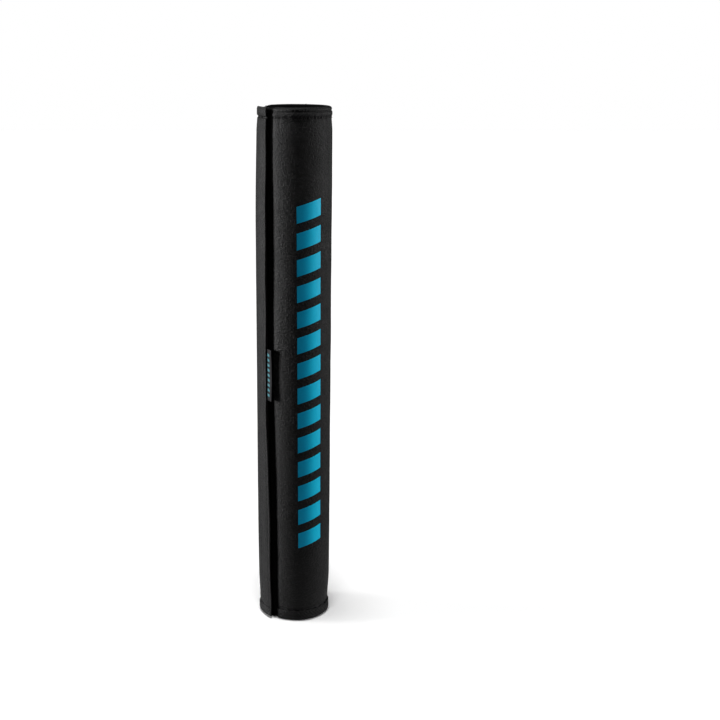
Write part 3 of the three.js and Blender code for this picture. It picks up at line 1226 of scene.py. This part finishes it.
dress(cover, cover_cloth, ["outer_cover"], smooth_angle=60)
for hem in hems.values():
    dress(hem, cover_cloth, smooth_angle=60)
dress(lining, lining_cloth, ["inner_lining"], smooth_angle=60)
dress(flap, cover_cloth, ["closure_flap"])
dress(loop_tape, pile_cloth, ["loop_tape"])
dress(tag, ribbon_cloth, ["side_tag"])
for mark in marks:
    dress(mark, mark_thread)
for number, bar in enumerate(bars):
    dress(bar, film_skin, [f"print_bar_{number + 1:02d}"])
for row in rows:
    dress(row, pile_cloth if row is tape_row else black_thread, smooth_angle=80)
for node, finish in (("foam_core", foam_skin), ("hook_tape", hook_cloth)):
    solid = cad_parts[node]
    solid.data.materials.clear()
    solid.data.materials.append(finish)

# %% [markdown]
# The photograph was taken from a little above the top rim with a fairly long lens, and the pad
# stands left of its middle. The camera stands where lines through both rims and both sides meet.

# %% Camera
photo_pixels = 720
focal_pixels = 1199
axis_column = 296.2
camera_distance = 1.114
camera_above_rim = 0.0659
camera_pitch = 15.33
sensor_width = 36

bpy.ops.object.camera_add(
    location=(axis_x, axis_y - camera_distance, 0.5 + camera_above_rim),
    rotation=(math.radians(90 - camera_pitch), 0, 0),
)
camera = bpy.context.active_object
camera.data.sensor_width = sensor_width
camera.data.lens = focal_pixels / photo_pixels * sensor_width
camera.data.shift_x = (photo_pixels / 2 - axis_column) / photo_pixels
bpy.context.scene.camera = camera

# %% [markdown]
# A pack shot of black cloth: its front stays dark, and light that grazes both sides draws its round
# form. So three wide soft lights stand almost level with it, one on the left and two on the right.
# One from above lays the small shadow on the floor, and one high in front picks out the roll of
# cloth along the rim.

# %% Soft lights
def soft_light(name, turn, height_angle, strength, width):
    """A wide light from turn degrees round from the front; strength 1 shows white as white."""
    bpy.ops.object.light_add(type="SUN")
    lamp = bpy.context.active_object
    lamp.name = name
    lamp.data.energy = strength * math.pi
    lamp.data.angle = math.radians(width)
    lamp.rotation_euler = (math.radians(90 - height_angle), 0, math.radians(turn))


soft_light("left light", turn=-91, height_angle=3, strength=2, width=14)
soft_light("right light", turn=84, height_angle=3, strength=0.54, width=16)
soft_light("far right light", turn=112, height_angle=3, strength=0.24, width=16)
soft_light("top light", turn=-90, height_angle=86, strength=0.4, width=9)
soft_light("front light", turn=-3, height_angle=82, strength=0.55, width=9)

# %% [markdown]
# Floor and background are white to the camera. Light Path tells the camera's rays from those that
# light the pad: for them both are dimmer, or the white room would fill the dark front with light.
# Only the floor close to the pad throws light back at it. The floor still takes the lamps' shadows.

# %% White room
room_light = 0.02
floor_size = 12
floor_colour = 0.1
near_floor_colour = 0.45
near_floor = 0.05
far_floor = 0.18
floor_seen_colour = 0.9
floor_lift = 0.09


def seen_share(tree):
    """1 for rays from the camera or through glass, room_light for the others and for gloss."""
    rays = add(tree, "LightPath")
    clear_rays = maths(tree, "MAXIMUM", rays["Is Camera Ray"], rays["Is Transmission Ray"])
    glossy = maths(tree, "MULTIPLY", rays["Is Glossy Ray"], room_light)
    return clear_rays, maths(tree, "MAXIMUM", clear_rays, maths(tree, "MAXIMUM", glossy, room_light))


world = bpy.data.worlds.new("white studio")
bpy.context.scene.world = world
world.use_nodes = True
sky = world.node_tree
glow = sky.nodes["Background"].inputs
glow["Color"].default_value = grey(1)
wire(sky, seen_share(sky)[1], glow["Strength"])

bpy.ops.object.select_all(action="DESELECT")
bpy.ops.mesh.primitive_plane_add(size=floor_size)
floor = bpy.context.active_object
floor.name = "floor"
floor_paint, tree, shader = bare_finish("white floor", Roughness=0.9, Specular_IOR_Level=0.0)
seen = seen_share(tree)[0]
away = add(tree, "VectorMath", {"operation": "LENGTH"}, Vector=places(tree)[1])["Value"]
dims_over = {"From_Min": near_floor, "From_Max": far_floor}
dims_to = {"To_Min": near_floor_colour, "To_Max": floor_colour}
thrown_back = add(tree, "MapRange", Value=away, **dims_over, **dims_to)["Result"]
wire(tree, mixed(tree, seen, thrown_back, grey(floor_seen_colour)), shader.inputs["Base Color"])
shader.inputs["Emission Color"].default_value = grey(1)
wire(tree, maths(tree, "MULTIPLY", seen, floor_lift), shader.inputs["Emission Strength"])
floor.data.materials.append(floor_paint)

bpy.context.scene.view_settings.view_transform = "Standard"
